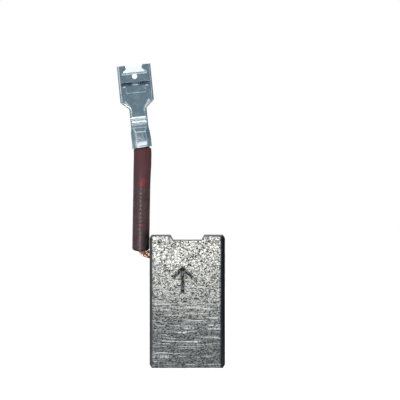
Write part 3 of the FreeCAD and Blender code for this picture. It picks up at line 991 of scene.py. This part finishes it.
def form_sheet(points):
    """The sheet follows its sleeve. Its front swells to a bell at the rear end of the barrel and again
    a little after it, its right flank moves out, and the pressed lines of the box get shallower."""
    u, v, w = in_terminal(points)
    front_share = 1 - ease(v, 0.1, 0.75)
    bell = bell_depth * (1 - ease(w, -0.1, 1.2)) * ease(u, -1.4, -0.1) * (1 - ease(u, 0.8, 1.55))
    swell = swell_depth * np.sin(np.clip((w - 1.1) / 1.5, 0, 1) * math.pi) * ease(u, -1.6, -0.2)
    flank = flank_shift * ease(u, 0.3, 1.3) * (1 - ease(w, 1.2, 2.8))
    in_pocket = (w > panel_from) & (w < pocket_to) & (np.abs(u) < pocket_side)
    on_lines = (w > panel_from) & (v > 0) & (v < 0.1)
    pressed = np.where(on_lines, np.where(in_pocket, 0.9, 0.5) * v, 0)
    moved = points.copy()
    moved[:, 1] -= front_share * (bell + swell) + pressed
    return moved + flank[:, None] * terminal_axes[0]


print("barrel starts at", barrel_at.round(2))


# %% Smooth copy
def cut_evenly(shape, axis, places):
    """Cuts the mesh along evenly spaced planes, so that its flat panels have points of their own."""
    normal = terminal_axes[axis]
    for value in places:
        bmesh.ops.bisect_plane(
            shape, geom=shape.verts[:] + shape.edges[:] + shape.faces[:], dist=0.002 * MM,
            plane_co=(barrel_at + normal * value) * MM, plane_no=normal,
        )


def smooth_copy(node, title, width):
    """A merged copy of a CAD node whose sharp edges get a small round bevel."""
    copied = new_object(title, node.data.copy())
    copied.data.materials.clear()
    shape = bmesh.new()
    shape.from_mesh(copied.data)
    bmesh.ops.remove_doubles(shape, verts=shape.verts, dist=0.0005 * MM)
    bmesh.ops.dissolve_limit(
        shape, angle_limit=math.radians(0.5), verts=shape.verts, edges=shape.edges,
        use_dissolve_boundaries=False,
    )
    sharp = [edge for edge in shape.edges if edge.calc_face_angle(0) > math.radians(35)]
    bmesh.ops.bevel(
        shape, geom=sharp, offset=width * MM, offset_type="OFFSET", segments=2, profile=0.5,
        affect="EDGES", clamp_overlap=False,
    )
    bmesh.ops.remove_doubles(shape, verts=shape.verts, dist=0.002 * MM)
    cut_evenly(shape, 2, np.arange(0.0, 13.8, 0.2))
    cut_evenly(shape, 0, np.arange(-2.6, 2.7, 0.2))
    shape.to_mesh(copied.data)
    shape.free()
    formed = form_sheet(read_points(copied.data)) * MM
    copied.data.vertices.foreach_set("co", formed.ravel())
    copied.data.shade_smooth()
    shading = copied.modifiers.new("flat_panels", "WEIGHTED_NORMAL")
    shading.weight = 100
    return copied


terminal = smooth_copy(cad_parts["receptacle_terminal"], "tinned_terminal", 0.035)
measure(terminal)

# %% [markdown]
# ## The finish of the terminal
#
# Tin is a mirror with a soft haze. It is duller where the sheet was strained at the shoulders and on
# the barrel, and dimpled where the crimp pinched it. By its slots and inside the box it is painted
# dark, a painted shade. Each of these is a number that a point carries, worked out from its place on
# the sheet, and the material reads them as colour, roughness and bumps.

# %% Tin
tin = new_material("tinned_sheet", Metallic=1.0)
place = millimetres(tin)
smudge = noise(tin, place, 0.9, 4.0, 0.6)
tin_colour = mix(tin, between(tin, smudge, 0.35, 0.65), colour("d8e0e4"), colour("e2e8ea"))
# The first two colours are painted shade: inside the box, and round the slots.
for title, code in (("inside", "7f97ae"), ("painted_slot_shade", "56687a"), ("worked", "a2b0b9")):
    tin_colour = mix(tin, attribute(tin, title), tin_colour, colour(code))
feed(tin, "Base Color", tin_colour)
haze = add(tin, "ShaderNodeMapRange", {
    "Value": smudge, "From Min": 0.3, "From Max": 0.7, "To Min": 0.13, "To Max": 0.2,
})
feed(tin, "Roughness", math_node(tin, "ADD", attribute(tin, "dulled"), haze))
ripple = noise(tin, place, 1.1, 2.0)
hammered = math_node(tin, "MULTIPLY", noise(tin, place, 1.8, 2.0), attribute(tin, "pinched"))
bump(tin, math_node(tin, "ADD", ripple, math_node(tin, "MULTIPLY", hammered, 7.0)), 0.012, 0.3)
terminal.data.materials.append(tin)
print("tin has", len(tin.node_tree.nodes), "nodes")


# %% Painted shade inside the box and by the slots
def inward_share(mesh, from_level):
    """1 where painted shade goes: points behind the box's floor whose face looks forward, as the rolls'
    undersides do.
    """
    normals = np.empty(len(mesh.vertices) * 3)
    mesh.vertex_normals.foreach_get("vector", normals)
    behind = ease(read_points(mesh)[:, 1], from_level, from_level + 0.1)
    return behind * ease(-normals.reshape(-1, 3)[:, 1], 0.1, 0.5)


slots_at, slot_from, slot_to = 10.6, 0.75, 2.05
slots = [((-slot_to, slots_at), (-slot_from, slots_at)), ((slot_from, slots_at), (slot_to, slots_at))]
bridge = [((-0.85, slots_at), (0.85, slots_at))]
terminal_points = read_points(terminal.data)
u, v, w = in_terminal(terminal_points)
# Painted shade round the two slots, and fainter over the bridge between them.
painted_slot_shade = 0.88 * (1 - ease(stroke_distance(u, w, slots), 0.24, 0.42))
painted_slot_shade = np.maximum(painted_slot_shade, 0.5 * (1 - ease(stroke_distance(u, w, bridge), 0.12, 0.3)))
carry(terminal, "inside", inward_share(terminal.data, -0.5))
carry(terminal, "painted_slot_shade", painted_slot_shade * (1 - ease(v, 0.06, 0.16)))
print(int((painted_slot_shade > 0.5).sum()), "points by the slots")

# %% Strained and crimped places
shoulder_bends = [
    ((-2.05, 7.75), (-1.2, 6.7)), ((2.05, 7.75), (1.2, 6.7)),
    ((-1.2, 6.7), (-1.1, 6.1)), ((1.2, 6.7), (1.1, 6.1)),
]
pocket_low, pocket_top, pocket_half = 9.05, 10.25, 1.6
pocket_edges = [
    ((-pocket_half, pocket_low), (pocket_half, pocket_low)),
    ((-pocket_half, pocket_low), (-pocket_half, pocket_top)),
    ((pocket_half, pocket_low), (pocket_half, pocket_top)),
]
grain = 0.1 * lumps(terminal_points, 0.5, 41)
strained = 1 - ease(stroke_distance(u, w, shoulder_bends) + grain, 0.02, 0.3)
strained = np.maximum(strained, 0.1 * (1 - ease(stroke_distance(u, w, pocket_edges), 0.02, 0.2)))
on_sleeve = 1 - ease(w, 3.3, 4.2)
carry(terminal, "worked", 0.7 * on_sleeve * ease(w, 0.6, 1.8))
carry(terminal, "dulled", 0.22 * strained + 0.09 * on_sleeve)
carry(terminal, "pinched", ease(w, 2.2, 3.2) * (1 - ease(w, 5.2, 6.4)))
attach(terminal, "root")
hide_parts("receptacle_terminal")
print(int((strained > 0.5).sum()), "points on the bends")

# %% [markdown]
# ## Finish
#
# The picture is shown with Blender's Standard view transform. The dressed brush has to stay
# inside the box of the CAD model.

# %% Finish
scene.view_settings.view_transform = "Standard"
